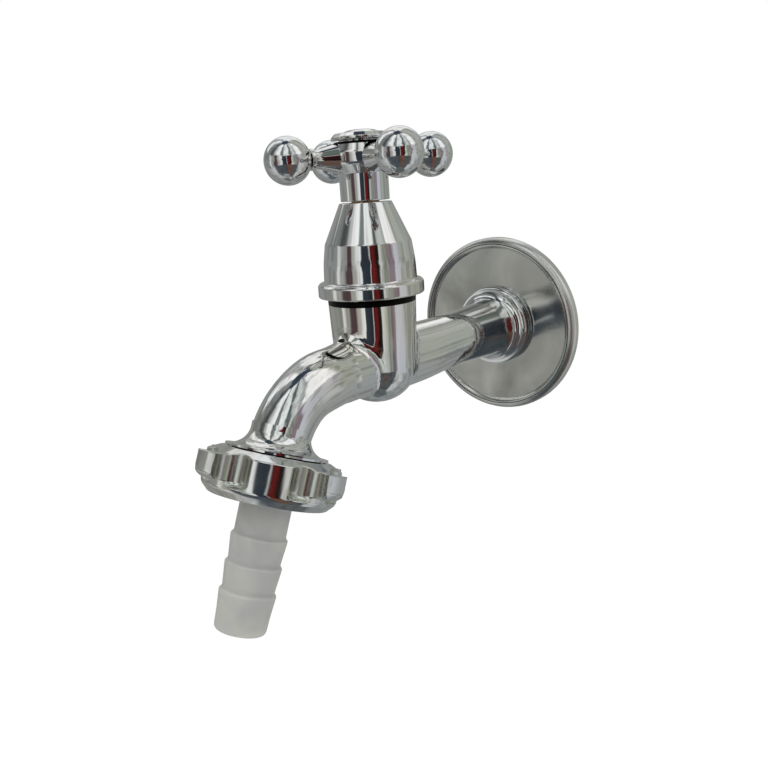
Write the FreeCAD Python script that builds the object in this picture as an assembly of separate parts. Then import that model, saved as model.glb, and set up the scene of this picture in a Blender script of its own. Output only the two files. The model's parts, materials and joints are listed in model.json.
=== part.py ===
import FreeCAD, Part
import math
import os
from FreeCAD import Vector

# Garden tap with a rising spindle, a cross handle and a hose union.
# Millimetres. The wall is the plane y = 0 and the inlet runs along +Y into it.
# The spindle stands along +Z at y = -wall_to_spindle, and the spout points to -Y.

# Fits and gaps
thread_gap = 0.08        # between the crests of two mating threads
running_gap = 0.05       # a shaft that turns or slides in its hole
loose_gap = 0.3          # bodies that move past each other
contact_gap = 0.02       # faces of two bodies that meet
cut_overrun = 1.0        # a cutting shape runs this far past the face it opens
embed = 0.5              # a joined shape starts this far inside its neighbour
edge_round = 0.3         # broken edges of turned pieces
same_place = 0.001       # points closer than this are one point

# Threads, cut as rows of V grooves
groove_half_share = 0.3  # half a groove's width, in pitches

# Main places
wall_to_spindle = 70.0
barrel_top = 20.9        # height of the barrel's rim over the pipe axis
valve_lift = 5.0         # two turns of a 2.5 mm spindle thread

# Inlet
inlet_thread_radius = 10.478     # G 1/2 outside thread
inlet_thread_depth = 1.1
inlet_thread_pitch = 1.814
inlet_thread_length = 13.0
inlet_relief_radius = 9.2
inlet_bore_radius = 5.5
inlet_thread_chamfer = 1.0

# Neck between the wall and the barrel
collar_radius = 14.1
collar_width = 3.4
collar_round = 1.5
flare_length = 5.2
flare_rise = 1.0             # flare's radius over the waist's
flare_lip = 1.0
flare_round = 3.2
waist_round = 20.0
waist_radius = 8.8
waist_distance = 32.0
socket_margin = 2.9          # barrel's radius over the socket's
socket_drop = 0.3
socket_sections = 5
socket_inset = 4.0           # socket's end, short of the spindle axis
junction_run = 3.4           # straight run of a tube outside the barrel

# Barrel
barrel_radius = 12.25
barrel_flare = 0.7           # how much wider the barrel is at its rim
barrel_rim_round = 0.9
bowl_margin = 1.55           # bowl's bottom under the socket's
bowl_share = 0.98            # bowl's curve, as a share of the barrel's foot
chamber_radius = 9.3
chamber_floor_wall = 1.2     # between the chamber and the inlet bore under it
chamber_relief = 1.6         # chamber's roof below the headwork's end

# Seat
seat_boss_radius = 6.6
seat_boss_top = 9.0
seat_hole_radius = 4.0
seat_ring_radius = 5.6
seat_ring_depth = 2.0
seat_ring_lip = 0.6

# Spout
spout_level = 0.6
spout_margin = 3.6           # barrel's radius over the spout's
spout_tip_radius = 8.1
spout_gentle_radius = 46.0
spout_gentle_turn = 12.0
spout_tight_radius = 21.9
spout_taper_share = 0.5      # share of the bend in which the spout narrows
spout_sections = 8
outlet_tilt = 23.7           # outlet axis forward from straight down
outlet_straight = 3.3
outlet_bore_radius = 5.5
drop_bore_radius = 4.2       # slanted hole from the chamber
drop_bore_rise = 2.2         # its start over the chamber's floor
drop_bore_inset = 0.7
waterway_sections = 7
bell_radius = 13.8
bell_edge = 0.5
bell_length = 6.2
bell_start = -1.3            # bell's lower edge, measured along the outlet axis
bell_round = 5.2
junction_round = 4.0

# Outlet thread and hose union, along the outlet axis
outlet_thread_radius = 13.22     # G 3/4 outside thread
outlet_thread_depth = 1.1
outlet_thread_pitch = 1.814
outlet_thread_end = 6.3
outlet_thread_chamfer = 0.5
outlet_relief_length = 1.8
gasket_thickness = 1.5
tail_flange_thickness = 2.1
tail_flange_radius = 12.9
nut_clearance = 0.3          # between the bell's edge and the nut
nut_radius = 18.0
nut_bevel = 1.6
nut_bevel_width = 3.4
nut_chamfer = 2.2
nut_chamfer_width = 2.2
nut_chamfer_round = 1.0
nut_end_thickness = 1.5
nut_hole_gap = 0.2           # round the tail's ridges
nut_mouth = 0.6              # bevel at the mouth of the thread
lug_radius = 23.2
lug_width = 11.6
lug_height = 6.6
lug_round = 2.6
lug_count = 4
scallop_radius = 4.5
scallop_depth = 1.5
scallop_angle = 18.7
scallop_floor = 2.9          # band left whole above the nut's lower end

# Hose tail
tail_root_radius = 6.9
tail_shank_radius = 7.1
tail_crest_radius = 7.6
tail_bore_radius = 5.0
tail_plain_length = 9.6      # nut's lower end to the first ridge
tail_ridge_pitch = 7.3
tail_ridge_count = 3
tail_ridge_land = 0.8
tail_shoulder = 0.5
tail_taper_length = 7.2
tail_taper_curve = 12.0
tail_tip_length = 9.6
tail_tip_radius = 6.9
tail_tip_round = 1.3

# Wall flange
flange_radius = 31.35
flange_sheet = 0.8
flange_face = 2.4            # front face over the wall
flange_bead_height = 3.9
flange_bead_width = 3.8
flange_bead_lean = 0.9       # slope of the bead's inner side
flange_bead_round = 1.6
flange_rim_round = 2.3
flange_dish = 0.15           # disc bows out to its bead
flange_foot_shift = 0.6      # inner skin's step at the bead, in sheets
flange_hole_gap = 0.35

# Headwork, bottom to top
headwork_thread_radius = 8.33
headwork_thread_length = 6.3
headwork_skirt_bore = 6.9
jumper_headroom = 0.95       # over the jumper with the tap open
gasket_outer_radius = 11.2
bonnet_gasket_thickness = 1.0
headwork_collar_radius = 10.7
headwork_collar_height = 2.8
hex_width = 19.0
hex_height = 5.0
headwork_neck_radius = 7.5
spindle_thread_radius = 5.5
spindle_foot_radius = 4.8
spindle_foot_length = 2.3
spindle_thread_length = 10.5
spindle_thread_chamfer = 0.5
spindle_radius = 4.0
stop_gap = 0.6               # left over the spindle thread with the tap open
throat_length = 2.0
gland_radius = 5.6
packing_washer_thickness = 1.0
packing_height = 3.0
gland_nut_thread_length = 4.0
gland_nut_width = 11.0
gland_nut_height = 3.1

# Cover
cover_wall = 1.3
cover_top_thickness = 1.2
cover_top_radius = 7.5
cover_top_round = 0.35
cover_cone_height = 11.2
cover_shoulder_radius = 12.55
cover_shoulder_round = 1.6
cover_skirt_radius = 13.6
cover_skirt_draw = 0.25
cover_skirt_curve = 30.0
cover_cove = 0.7
cover_ring_ledge = 1.3       # flat step between the skirt and the ring's slope
cover_ring_radius = 15.5
cover_ring_height = 4.0
cover_ring_round = 0.45
cover_ring_slope = 0.7
cover_rim_gap = 0.25         # above the barrel's rim
cover_hole_gap = 0.6
cord_radius = 0.9            # O-ring section
cord_squeeze = 0.02

# Jumper valve
jumper_gap = 0.05
jumper_radius = 6.3
jumper_thickness = 2.0
jumper_stem_radius = 2.0
jumper_stem_length = 9.5
jumper_stud_radius = 1.5
stem_hole_spare = 0.5        # depth left over the jumper's stem
washer_radius = 6.0
washer_thickness = 3.0
washer_nut_width = 5.0
washer_nut_height = 1.6

# Spindle drive and handle
drive_width = 5.6
drive_gap = 0.05
drive_shortfall = 0.5        # drive's end under the top of the handle's socket
screw_radius = 1.75
screw_length = 8.0
screw_hole_spare = 1.0       # depth left under the screw's end
screw_head_radius = 3.5
screw_head_height = 1.8
screw_head_round = 0.7
screw_slot_length = 4.6
screw_slot_width = 0.9
screw_slot_depth = 0.8
screw_washer_radius = 3.8
screw_washer_thickness = 0.5
neck_radius = 7.0
neck_bore_radius = 5.4
neck_gap = 0.4               # under the neck when the tap is shut
handle_rise = 11.8           # neck's lower end to the middle of the balls
neck_length = 7.6
socket_length = 6.0
socket_rise = 1.9            # socket's top over the middle of the balls
hub_radius = 9.2
hub_top_radius = 7.8
hub_rise = 4.3               # hub's top over the middle of the balls
hub_round = 1.8
hub_belt = 1.5               # half the height of the hub's straight side
hub_recess_radius = 5.0
cap_radius = 8.5
cap_gap = 0.4
cap_rim_height = 1.9
cap_bevel = 1.1
cap_rim_width = 0.9
cap_rim_step = 0.15
cap_dome = 0.9
cap_crown_radius = 3.0
cap_crown_curve = 9.0
cap_spigot_depth = 1.9
cap_spigot_wall = 0.9
cap_spigot_gap = 0.05
ball_radius = 6.45
ball_circle = 22.2
ball_hole_depth = 4.0
arm_count = 4
arm_angle = -23.4            # first arm from +X with the tap shut
arm_inner_end = 2.0          # arms start inside the hub, this far from the axis
arm_heart_radius = 4.15
arm_root_radius = 4.1
arm_root_inset = 1.5         # where the taper starts, inside the hub's side
arm_root_curve = 6.0
arm_neck_radius = 2.4
arm_neck_length = 1.8
arm_neck_curve = 9.0
arm_stub_radius = 1.5
bead_radius = 2.9
bead_width = 1.0
bead_seat_depth = 0.15       # bead's end inside the ball's outline

# Sizes of the body that follow from the sizes above
barrel_rim_radius = barrel_radius + barrel_flare
socket_radius = barrel_radius - socket_margin
spout_root_radius = barrel_radius - spout_margin
bowl_depth = socket_radius + socket_drop + bowl_margin
spout_reach = barrel_rim_radius + junction_run
flare_radius = waist_radius + flare_rise

# Heights on the spindle axis that follow from the sizes above
collar_bottom = barrel_top + bonnet_gasket_thickness
hex_bottom = collar_bottom + headwork_collar_height
hex_top = hex_bottom + hex_height
headwork_thread_end = barrel_top - headwork_thread_length
chamber_floor = inlet_bore_radius + chamber_floor_wall
chamber_top = headwork_thread_end - chamber_relief
washer_bottom = seat_boss_top + seat_ring_lip + jumper_gap
washer_top = washer_bottom + washer_thickness
jumper_top = washer_top + jumper_thickness
stem_top = jumper_top + jumper_stem_length
headwork_skirt_top = jumper_top + valve_lift + jumper_headroom
spindle_bottom = jumper_top + jumper_gap
spindle_thread_bottom = spindle_bottom + spindle_foot_length
spindle_thread_top = spindle_thread_bottom + spindle_thread_length
stop_height = spindle_thread_top + valve_lift + stop_gap
gland_floor = stop_height + throat_length
packing_bottom = gland_floor + packing_washer_thickness
packing_top = packing_bottom + packing_height
gland_top = packing_top + gland_nut_thread_length
gland_nut_top = gland_top + gland_nut_height
cover_top = gland_nut_top + cover_top_thickness
cover_shoulder = cover_top - cover_cone_height
cover_bottom = barrel_top + cover_rim_gap
cover_ring_top = cover_bottom + cover_ring_height
cover_inner_radius = headwork_collar_radius + cord_radius * 0.85
neck_bottom = cover_top + neck_gap
neck_top = neck_bottom + neck_length
handle_height = neck_bottom + handle_rise
socket_top = handle_height + socket_rise
socket_bottom = socket_top - socket_length
drive_bottom = socket_bottom
drive_top = socket_top - drive_shortfall
screw_seat = socket_top + screw_washer_thickness
screw_bottom = screw_seat - screw_length
hub_top = handle_height + hub_rise
cap_bottom = hub_top + cap_gap

# Stations along the outlet axis, counted out of the tap
gasket_start = outlet_thread_end
gasket_end = gasket_start + gasket_thickness
tail_flange_end = gasket_end + tail_flange_thickness
nut_top = bell_start + nut_clearance
nut_bottom = tail_flange_end + nut_end_thickness

parts_folder = "parts"


# Helpers

def rounded_outline(corners):
    """Closed wire in the XZ plane from (radius, height, round) corners."""
    count = len(corners)
    edges = []
    joints = []
    for i in range(count):
        here = Vector(corners[i][0], 0, corners[i][1])
        bend = corners[i][2] if len(corners[i]) > 2 else 0.0
        if bend <= 0:
            joints.append((here, None, here))
            continue
        before = Vector(corners[i - 1][0], 0, corners[i - 1][1]) - here
        after = Vector(corners[(i + 1) % count][0], 0, corners[(i + 1) % count][1]) - here
        before.normalize()
        after.normalize()
        half = before.getAngle(after) / 2
        setback = bend / math.tan(half)
        middle = before + after
        middle.normalize()
        centre = here + middle * (bend / math.sin(half))
        joints.append((here + before * setback, centre - middle * bend, here + after * setback))
    for i in range(count):
        start, mid, end = joints[i]
        if mid is not None:
            edges.append(Part.Arc(start, mid, end).toShape())
        following = joints[(i + 1) % count][0]
        if end.distanceToPoint(following) > same_place:
            edges.append(Part.LineSegment(end, following).toShape())
    return Part.Wire(edges)


def turned(corners):
    """Solid of revolution about Z."""
    face = Part.Face(rounded_outline(corners))
    return face.revolve(Vector(0, 0, 0), Vector(0, 0, 1), 360)


def rod(radius, bottom, top):
    return Part.makeCylinder(radius, top - bottom, Vector(0, 0, bottom))


def ring(outer, inner, bottom, top):
    return rod(outer, bottom, top).cut(rod(inner, bottom - cut_overrun, top + cut_overrun))


def prism(width, sides, bottom, top):
    """Regular prism about Z, measured across its flats."""
    corner = width / 2 / math.cos(math.pi / sides)
    turn = 2 * math.pi / sides
    points = [
        Vector(corner * math.cos((k + 0.5) * turn), corner * math.sin((k + 0.5) * turn), bottom)
        for k in range(sides)
    ]
    face = Part.Face(Part.makePolygon(points + points[:1]))
    return face.extrude(Vector(0, 0, top - bottom))


def hexagon(width, bottom, top):
    """Hexagon head with its upper corners turned off."""
    cone = turned([
        (0, bottom),
        (width, bottom),
        (width / 2 + edge_round, top),
        (0, top),
    ])
    return prism(width, 6, bottom, top).common(cone)


def thread_corners(crest, depth, pitch, start, end):
    """Corners of a row of V grooves from start to end along the axis."""
    count = int((end - start) / pitch)
    first = start + (end - start - count * pitch) / 2
    corners = []
    for k in range(count):
        low = first + k * pitch
        corners.append((crest, low + (0.5 - groove_half_share) * pitch))
        corners.append((crest - depth, low + 0.5 * pitch))
        corners.append((crest, low + (0.5 + groove_half_share) * pitch))
    return corners


def at_spindle(shape):
    shape = shape.copy()
    shape.translate(Vector(0, -wall_to_spindle, 0))
    return shape


def along_inlet(shape):
    """Turns a shape made about Z so that its +Z runs along +Y."""
    shape = shape.copy()
    shape.rotate(Vector(0, 0, 0), Vector(1, 0, 0), -90)
    return shape


def at_outlet(shape):
    """Puts a shape made about Z on the outlet axis, +Z pointing out of it."""
    shape = shape.copy()
    shape.rotate(Vector(0, 0, 0), Vector(1, 0, 0), 180 - outlet_tilt)
    shape.translate(outlet_origin())
    return shape


def circle_wire(centre, direction, radius):
    return Part.Wire(Part.Circle(centre, direction, radius).toShape())


def save(node, shape):
    solids = shape.Solids
    shape = solids[0] if len(solids) == 1 else Part.makeCompound(solids)
    shape.exportStep(os.path.join(parts_folder, node + ".step"))
    print(node, "solids", len(solids), "valid", shape.isValid(), "volume", round(shape.Volume, 1))


# Spout centre line

def spout_point(turn):
    """Centre line point where the spout has turned down by this many degrees."""
    y = -(wall_to_spindle + spout_reach)
    z = spout_level
    first = math.radians(min(turn, spout_gentle_turn))
    y -= spout_gentle_radius * math.sin(first)
    z -= spout_gentle_radius * (1 - math.cos(first))
    second = math.radians(max(turn, spout_gentle_turn))
    base = math.radians(spout_gentle_turn)
    y -= spout_tight_radius * (math.sin(second) - math.sin(base))
    z -= spout_tight_radius * (math.cos(base) - math.cos(second))
    return Vector(0, y, z)


def spout_heading(turn):
    angle = math.radians(turn)
    return Vector(0, -math.cos(angle), -math.sin(angle))


def outlet_origin():
    turn = 90 - outlet_tilt
    return spout_point(turn) + spout_heading(turn) * outlet_straight


# Body

def body_neck():
    """Collar, flare and waist, turned about the inlet axis."""
    back = -(flange_face + loose_gap)
    front = back - collar_width
    flare_end = front - flare_length
    crest_end = inlet_thread_length - inlet_thread_chamfer
    return along_inlet(turned([
        (0, -waist_distance - embed),
        (waist_radius - embed, -waist_distance - embed),
        (waist_radius - embed, -waist_distance),
        (waist_radius, -waist_distance),
        (flare_radius, flare_end, waist_round),
        (flare_radius + flare_lip, front, flare_round),
        (collar_radius, front, collar_round),
        (collar_radius, back, collar_round / 2),
        (inlet_relief_radius, back),
        (inlet_relief_radius, 0),
        (inlet_thread_radius, 0),
    ] + thread_corners(
        inlet_thread_radius, inlet_thread_depth, inlet_thread_pitch, 0, crest_end
    ) + [
        (inlet_thread_radius, crest_end),
        (inlet_thread_radius - inlet_thread_chamfer, inlet_thread_length),
        (0, inlet_thread_length),
    ]))


def swell(share):
    """Smooth step from 0 to 1."""
    share = min(1.0, share)
    return share * share * (3 - 2 * share)


def body_socket():
    """Widening tube from the waist, with a straight run into the barrel."""
    back = -waist_distance
    end = -(wall_to_spindle - barrel_rim_radius - junction_run)
    sections = []
    for k in range(socket_sections):
        share = k / (socket_sections - 1)
        centre = Vector(0, back + (end - back) * share, -socket_drop * swell(share))
        radius = waist_radius + (socket_radius - waist_radius) * swell(share)
        sections.append(circle_wire(centre, Vector(0, -1, 0), radius))
    run = Part.makeCylinder(
        socket_radius, barrel_rim_radius + junction_run - socket_inset,
        Vector(0, end, -socket_drop), Vector(0, -1, 0))
    return Part.makeLoft(sections, True, False).fuse(run).removeSplitter()


def body_barrel():
    slope = (barrel_rim_radius - barrel_radius) / barrel_top
    foot_radius = barrel_radius - slope * barrel_radius
    return at_spindle(turned([
        (0, -bowl_depth),
        (foot_radius, -bowl_depth, foot_radius * bowl_share),
        (barrel_rim_radius, barrel_top, barrel_rim_round),
        (0, barrel_top),
    ]))


def body_spout():
    """Straight run out of the barrel, then a tapering tube down to the outlet."""
    full = 90 - outlet_tilt
    sections = []
    for k in range(spout_sections):
        share = k / spout_sections
        turn = full * share
        narrowing = (spout_root_radius - spout_tip_radius) * swell(share / spout_taper_share)
        sections.append(circle_wire(
            spout_point(turn), spout_heading(turn), spout_root_radius - narrowing))
    end = outlet_origin() + spout_heading(full) * (bell_start - bell_length / 2)
    sections.append(circle_wire(end, spout_heading(full), spout_tip_radius))
    run = Part.makeCylinder(
        spout_root_radius, spout_reach, Vector(0, -wall_to_spindle, spout_level), Vector(0, -1, 0))
    return Part.makeLoft(sections, True, False).fuse(run).removeSplitter()


def body_outlet():
    """Bell and thread, turned about the outlet axis."""
    top = bell_start - bell_edge
    root_radius = outlet_thread_radius - outlet_thread_depth
    crest_start = bell_start + outlet_relief_length
    crest_end = outlet_thread_end - outlet_thread_chamfer
    return at_outlet(turned([
        (0, top - bell_length - embed),
        (spout_tip_radius, top - bell_length - embed),
        (spout_tip_radius, top, bell_round),
        (bell_radius, top),
        (bell_radius, bell_start),
        (root_radius, bell_start),
        (outlet_thread_radius, crest_start),
    ] + thread_corners(
        outlet_thread_radius, outlet_thread_depth, outlet_thread_pitch, crest_start, crest_end
    ) + [
        (outlet_thread_radius, crest_end),
        (outlet_thread_radius - outlet_thread_chamfer, outlet_thread_end),
        (0, outlet_thread_end),
    ]))


def inlet_waterway():
    blind = wall_to_spindle + seat_hole_radius - embed
    bore = along_inlet(rod(inlet_bore_radius, -blind, inlet_thread_length + cut_overrun))
    riser = at_spindle(rod(seat_hole_radius, 0, seat_boss_top))
    pocket = at_spindle(rod(
        seat_ring_radius, seat_boss_top - seat_ring_depth, seat_boss_top + cut_overrun))
    return bore.fuse([riser, pocket])


def barrel_chamber():
    chamber = ring(chamber_radius, seat_boss_radius, chamber_floor, seat_boss_top)
    above = rod(chamber_radius, seat_boss_top, chamber_top)
    mouth = rod(headwork_thread_radius, chamber_top - embed, barrel_top + cut_overrun)
    return at_spindle(chamber.fuse([above, mouth]))


def outlet_waterway():
    """Slanted hole out of the chamber, then the bore of the spout."""
    full = 90 - outlet_tilt
    turn = spout_gentle_turn / 2
    start = Vector(0, drop_bore_inset - wall_to_spindle - chamber_radius, chamber_floor + drop_bore_rise)
    bend = spout_point(turn)
    slant = bend - start
    tube = Part.makeCylinder(drop_bore_radius, slant.Length, start, slant)
    knuckle = Part.makeSphere(drop_bore_radius, bend)
    sections = [circle_wire(bend, spout_heading(turn), drop_bore_radius)]
    for k in range(1, waterway_sections):
        share = k / (waterway_sections - 1)
        widening = min(1.0, 2 * share)
        radius = drop_bore_radius + (outlet_bore_radius - drop_bore_radius) * widening
        place = turn + (full - turn) * share
        sections.append(circle_wire(spout_point(place), spout_heading(place), radius))
    swept = Part.makeLoft(sections, True, False)
    drop = at_outlet(rod(outlet_bore_radius, -outlet_straight - embed, outlet_thread_end + cut_overrun))
    return tube.fuse([knuckle, swept, drop])


def shared_edges(joined, first, second):
    """Edges of a joined shape that lie on the skins of both of its pieces."""
    found = []
    for edge in joined.Edges:
        middle = Part.Vertex(edge.valueAt((edge.FirstParameter + edge.LastParameter) / 2))
        if max(middle.distToShape(piece.Shells[0])[0] for piece in (first, second)) < same_place:
            found.append(edge)
    return found


def body():
    outer = body_barrel()
    for tube in (body_socket(), body_spout()):
        joined = outer.fuse(tube)
        outer = joined.makeFillet(junction_round, shared_edges(joined, outer, tube))
    outer = outer.fuse([body_neck(), body_outlet()])
    waterways = inlet_waterway().fuse([barrel_chamber(), outlet_waterway()])
    return outer.cut(waterways).removeSplitter()


def valve_seat():
    top = seat_boss_top + seat_ring_lip
    bottom = seat_boss_top - seat_ring_depth
    return at_spindle(turned([
        (seat_hole_radius, bottom),
        (seat_ring_radius, bottom),
        (seat_ring_radius, top, edge_round),
        (seat_hole_radius, top, edge_round),
    ]))


# Headwork and gland

def headwork_body():
    groove = collar_bottom + headwork_collar_height / 2
    outer = turned([
        (0, headwork_thread_end),
        (headwork_thread_radius - thread_gap, headwork_thread_end, edge_round),
        (headwork_thread_radius - thread_gap, collar_bottom),
        (headwork_collar_radius, collar_bottom, edge_round),
        (headwork_collar_radius, hex_bottom),
        (headwork_neck_radius, hex_bottom),
        (headwork_neck_radius, gland_top, edge_round),
        (0, gland_top),
    ])
    outer = outer.fuse(hexagon(hex_width, hex_bottom, hex_top))
    inner_groove_radius = cover_inner_radius - 2 * cord_radius
    outer = outer.cut(ring(
        headwork_collar_radius + cut_overrun, inner_groove_radius,
        groove - cord_radius, groove + cord_radius))
    skirt = rod(headwork_skirt_bore, headwork_thread_end - cut_overrun, headwork_skirt_top)
    thread = rod(spindle_thread_radius + running_gap, headwork_skirt_top - embed, stop_height)
    throat = rod(spindle_radius + running_gap, stop_height - embed, gland_floor + embed)
    gland = rod(gland_radius, gland_floor, gland_top + cut_overrun)
    return at_spindle(outer.cut(skirt.fuse([thread, throat, gland])))


def headwork_gasket():
    return at_spindle(ring(
        gasket_outer_radius, headwork_thread_radius + thread_gap,
        barrel_top, collar_bottom))


def cover_oring():
    height = collar_bottom + headwork_collar_height / 2
    middle = cover_inner_radius - cord_squeeze - cord_radius
    return at_spindle(Part.makeTorus(middle, cord_radius - cord_squeeze, Vector(0, 0, height)))


def packing_washer():
    return at_spindle(ring(
        gland_radius - running_gap, spindle_radius + running_gap, gland_floor, packing_bottom))


def gland_packing():
    return at_spindle(turned([
        (spindle_radius + running_gap, packing_bottom, edge_round),
        (gland_radius - running_gap, packing_bottom, edge_round),
        (gland_radius - running_gap, packing_top, edge_round),
        (spindle_radius + running_gap, packing_top, edge_round),
    ]))


def gland_nut():
    shank = rod(gland_radius - thread_gap, packing_top, gland_top)
    head = hexagon(gland_nut_width, gland_top, gland_nut_top)
    hole = rod(spindle_radius + running_gap, packing_top - cut_overrun, gland_nut_top + cut_overrun)
    return at_spindle(shank.fuse(head).cut(hole))


def bonnet_cover():
    slope = (cover_shoulder_radius - cover_top_radius) / cover_cone_height
    cone_wall = cover_wall * math.hypot(1, slope)
    inner_top_radius = cover_top_radius + slope * cover_top_thickness - cone_wall
    inner_shoulder_radius = cover_shoulder_radius - cone_wall
    skirt_middle = (cover_ring_top + cover_shoulder) / 2
    hole = spindle_radius + cover_hole_gap
    return at_spindle(turned([
        (cover_inner_radius, cover_bottom, edge_round),
        (cover_ring_radius, cover_bottom, cover_ring_round),
        (cover_ring_radius, cover_ring_top - cover_ring_slope, cover_ring_round),
        (cover_skirt_radius + cover_ring_ledge, cover_ring_top, cover_ring_round),
        (cover_skirt_radius, cover_ring_top, cover_cove),
        (cover_skirt_radius - cover_skirt_draw, skirt_middle, cover_skirt_curve),
        (cover_shoulder_radius, cover_shoulder, cover_shoulder_round),
        (cover_top_radius, cover_top, cover_top_round),
        (hole, cover_top, edge_round),
        (hole, gland_nut_top),
        (inner_top_radius, gland_nut_top, edge_round),
        (inner_shoulder_radius, cover_shoulder),
        (cover_skirt_radius - cover_wall, skirt_middle),
        (cover_inner_radius, cover_ring_top),
    ]))


# Spindle and jumper valve

def jumper_valve():
    return at_spindle(turned([
        (0, washer_bottom - washer_nut_height),
        (jumper_stud_radius, washer_bottom - washer_nut_height),
        (jumper_stud_radius, washer_top),
        (jumper_radius, washer_top, edge_round),
        (jumper_radius, jumper_top, edge_round),
        (jumper_stem_radius, jumper_top),
        (jumper_stem_radius, stem_top, edge_round),
        (0, stem_top),
    ]))


def jumper_washer():
    return at_spindle(turned([
        (jumper_stud_radius + running_gap, washer_bottom),
        (washer_radius, washer_bottom, edge_round),
        (washer_radius, washer_top, edge_round),
        (jumper_stud_radius + running_gap, washer_top),
    ]))


def washer_nut():
    bottom = washer_bottom - washer_nut_height
    block = prism(washer_nut_width, 6, bottom, washer_bottom)
    hole = rod(jumper_stud_radius + running_gap, bottom - cut_overrun, washer_bottom + cut_overrun)
    return at_spindle(block.cut(hole))


def spindle():
    shaft = turned([
        (0, spindle_bottom),
        (spindle_foot_radius, spindle_bottom),
        (spindle_foot_radius, spindle_thread_bottom),
        (spindle_thread_radius, spindle_thread_bottom + spindle_thread_chamfer),
        (spindle_thread_radius, spindle_thread_top - spindle_thread_chamfer),
        (spindle_thread_radius - spindle_thread_chamfer, spindle_thread_top),
        (spindle_radius, spindle_thread_top),
        (spindle_radius, drive_bottom, edge_round),
        (0, drive_bottom),
    ])
    drive = prism(drive_width, 4, drive_bottom - embed, drive_top)
    stem_hole = rod(
        jumper_stem_radius + running_gap, spindle_bottom - cut_overrun, stem_top + stem_hole_spare)
    tapped = rod(
        screw_radius + running_gap, screw_bottom - screw_hole_spare, drive_top + cut_overrun)
    return at_spindle(shaft.fuse(drive).cut(stem_hole.fuse(tapped)))


# Handle

def handle_arm():
    """Trumpet arm along +X with a bead and a stub for the ball."""
    ball_face = ball_circle - ball_radius
    bead_end = ball_face + bead_seat_depth
    stub_end = ball_face + ball_hole_depth - running_gap
    arm = turned([
        (0, arm_inner_end),
        (arm_heart_radius, arm_inner_end),
        (arm_root_radius, hub_radius - arm_root_inset, arm_root_curve),
        (arm_neck_radius, ball_face - arm_neck_length, arm_neck_curve),
        (arm_neck_radius, ball_face - bead_width),
        (bead_radius, ball_face - bead_width, edge_round),
        (bead_radius, bead_end, edge_round),
        (arm_stub_radius, bead_end),
        (arm_stub_radius, stub_end),
        (0, stub_end),
    ])
    arm.rotate(Vector(0, 0, 0), Vector(0, 1, 0), 90)
    arm.translate(Vector(0, 0, handle_height))
    return arm


def around_handle(shape, k):
    shape = shape.copy()
    turn = arm_angle + 360.0 * k / arm_count
    shape.rotate(Vector(0, 0, 0), Vector(0, 0, 1), turn)
    return at_spindle(shape)


def handle_cross():
    hub = turned([
        (0, neck_bottom),
        (neck_radius, neck_bottom, edge_round),
        (neck_radius, neck_top, edge_round),
        (hub_radius, handle_height - hub_belt, hub_round),
        (hub_radius, handle_height + hub_belt, hub_round),
        (hub_top_radius, hub_top, edge_round),
        (0, hub_top),
    ])
    shape = at_spindle(hub).fuse([around_handle(handle_arm(), k) for k in range(arm_count)])
    skirt_bore = rod(neck_bore_radius, neck_bottom - cut_overrun, socket_bottom)
    drive_hole = prism(
        drive_width + 2 * drive_gap, 4, socket_bottom - embed, socket_top + embed)
    recess = rod(hub_recess_radius, socket_top, hub_top + cut_overrun)
    return shape.cut(at_spindle(skirt_bore.fuse([drive_hole, recess])))


def handle_ball(k):
    """Ball with a shallow seat for the arm's bead and a hole for its stub."""
    ball = Part.makeSphere(ball_radius, Vector(ball_circle, 0, handle_height))
    face = ball_circle - ball_radius
    outside = Vector(face - bead_width, 0, handle_height)
    outward = Vector(1, 0, 0)
    seat = Part.makeCylinder(
        bead_radius + running_gap, bead_width + bead_seat_depth, outside, outward)
    hole = Part.makeCylinder(
        arm_stub_radius + running_gap, bead_width + ball_hole_depth, outside, outward)
    return around_handle(ball.cut(seat.fuse(hole)), k)


def handle_screw():
    """Pan-head screw with a crossed slot."""
    head_top = screw_seat + screw_head_height
    shank = rod(screw_radius, screw_bottom, screw_seat)
    head = turned([
        (0, screw_seat),
        (screw_head_radius, screw_seat),
        (screw_head_radius, head_top, screw_head_round),
        (0, head_top),
    ])
    corner = Vector(-screw_slot_length / 2, -screw_slot_width / 2, head_top - screw_slot_depth)
    slot = Part.makeBox(screw_slot_length, screw_slot_width, screw_slot_depth + cut_overrun, corner)
    crossed = slot.copy()
    crossed.rotate(Vector(0, 0, 0), Vector(0, 0, 1), 90)
    return at_spindle(shank.fuse(head).cut(slot.fuse(crossed)))


def screw_washer():
    return at_spindle(ring(
        screw_washer_radius, screw_radius + running_gap, socket_top, screw_seat))


def handle_cap():
    rim_top = cap_bottom + cap_rim_height
    rim_radius = cap_radius - cap_bevel
    dome_top = rim_top + cap_dome
    disc = turned([
        (0, cap_bottom),
        (cap_radius, cap_bottom, edge_round),
        (cap_radius, rim_top - cap_bevel, edge_round),
        (rim_radius, rim_top, edge_round),
        (rim_radius - cap_rim_width, rim_top - cap_rim_step, edge_round),
        (cap_crown_radius, dome_top, cap_crown_curve),
        (0, dome_top),
    ])
    outer = hub_recess_radius - cap_spigot_gap
    spigot = ring(outer, outer - cap_spigot_wall, cap_bottom - cap_spigot_depth, cap_bottom + embed)
    return at_spindle(disc.fuse(spigot))


# Wall flange

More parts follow.
